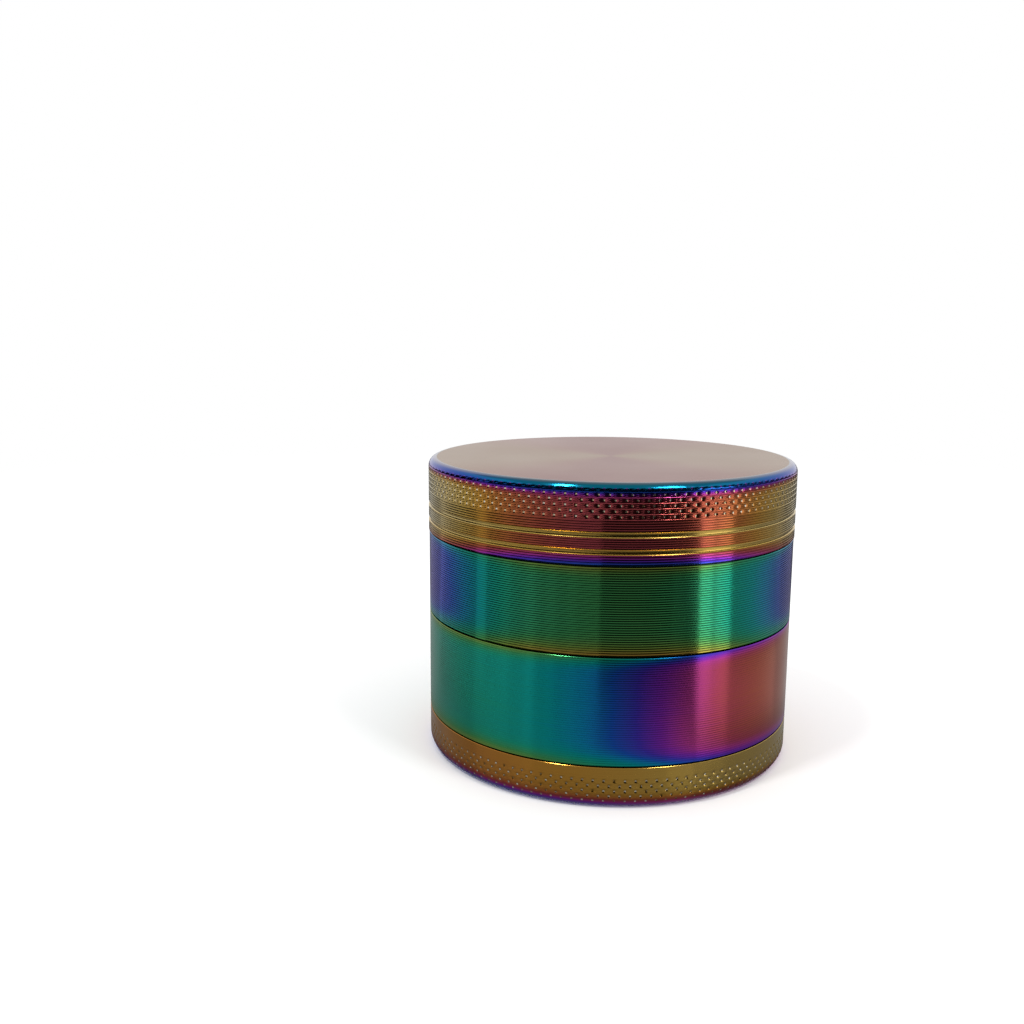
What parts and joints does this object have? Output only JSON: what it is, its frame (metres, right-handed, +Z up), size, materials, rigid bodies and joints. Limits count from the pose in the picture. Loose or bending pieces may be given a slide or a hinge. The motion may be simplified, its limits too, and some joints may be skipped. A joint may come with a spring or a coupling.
{
  "type": "hand herb grinder",
  "caption": "Round metal hand grinder: a toothed lid turns on a toothed tray, above a screwed-on sieve chamber and a shallow base tray.",
  "frame": {"origin": "centre of the base's flat underside", "axes": "+Z up along the axis that every piece turns about, from the base towards the lid; -Y towards the picture's camera"},
  "size_m": [0.0632, 0.0632, 0.0507],
  "materials": {
    "base_metal": "satin",
    "chamber_metal": "satin",
    "tray_metal": "satin",
    "lid_metal": "satin",
    "steel_mesh": "satin",
    "spring_steel": "satin",
    "nickel_plate": "polished",
    "nylon": "satin"
  },
  "bodies": {
    "base": {"pollen_tray": "base_metal"},
    "screen_ring": {"screen_ring": "spring_steel"},
    "chamber": {"sieve_chamber": "chamber_metal", "mesh_screen": "steel_mesh"},
    "tray_magnet": {"tray_magnet": "nickel_plate"},
    "tray": {"grinding_tray": "tray_metal"},
    "slip_ring": {"slip_ring": "nylon"},
    "lid": {"lid": "lid_metal", "lid_magnet": "nickel_plate"}
  },
  "joints": [
    {"name": "chamber_rise", "type": "slide", "parent": "base", "child": "screen_ring", "axis": [0, 0, 1], "range_m": [0, 0.0026]},
    {"name": "chamber_unscrew", "type": "hinge", "parent": "screen_ring", "child": "chamber", "pos_m": [0, 0, 0.0068], "axis": [0, 0, 1], "range_deg": [0, 450]},
    {"name": "tray_rise", "type": "slide", "parent": "chamber", "child": "tray_magnet", "axis": [0, 0, 1], "range_m": [0, 0.0026]},
    {"name": "tray_unscrew", "type": "hinge", "parent": "tray_magnet", "child": "tray", "pos_m": [0, 0, 0.0242], "axis": [0, 0, 1], "range_deg": [0, 450]},
    {"name": "lid_turn", "type": "hinge", "parent": "tray", "child": "slip_ring", "pos_m": [0, 0, 0.0382], "axis": [0, 0, 1], "continuous": true},
    {"name": "lid_lift", "type": "slide", "parent": "slip_ring", "child": "lid", "axis": [0, 0, 1], "range_m": [0, 0.04]}
  ],
  "couplings": [
    {"joint": "chamber_rise", "follows": "chamber_unscrew", "m_per_rad": 0.00031831},
    {"joint": "tray_rise", "follows": "tray_unscrew", "m_per_rad": 0.00031831}
  ]
}
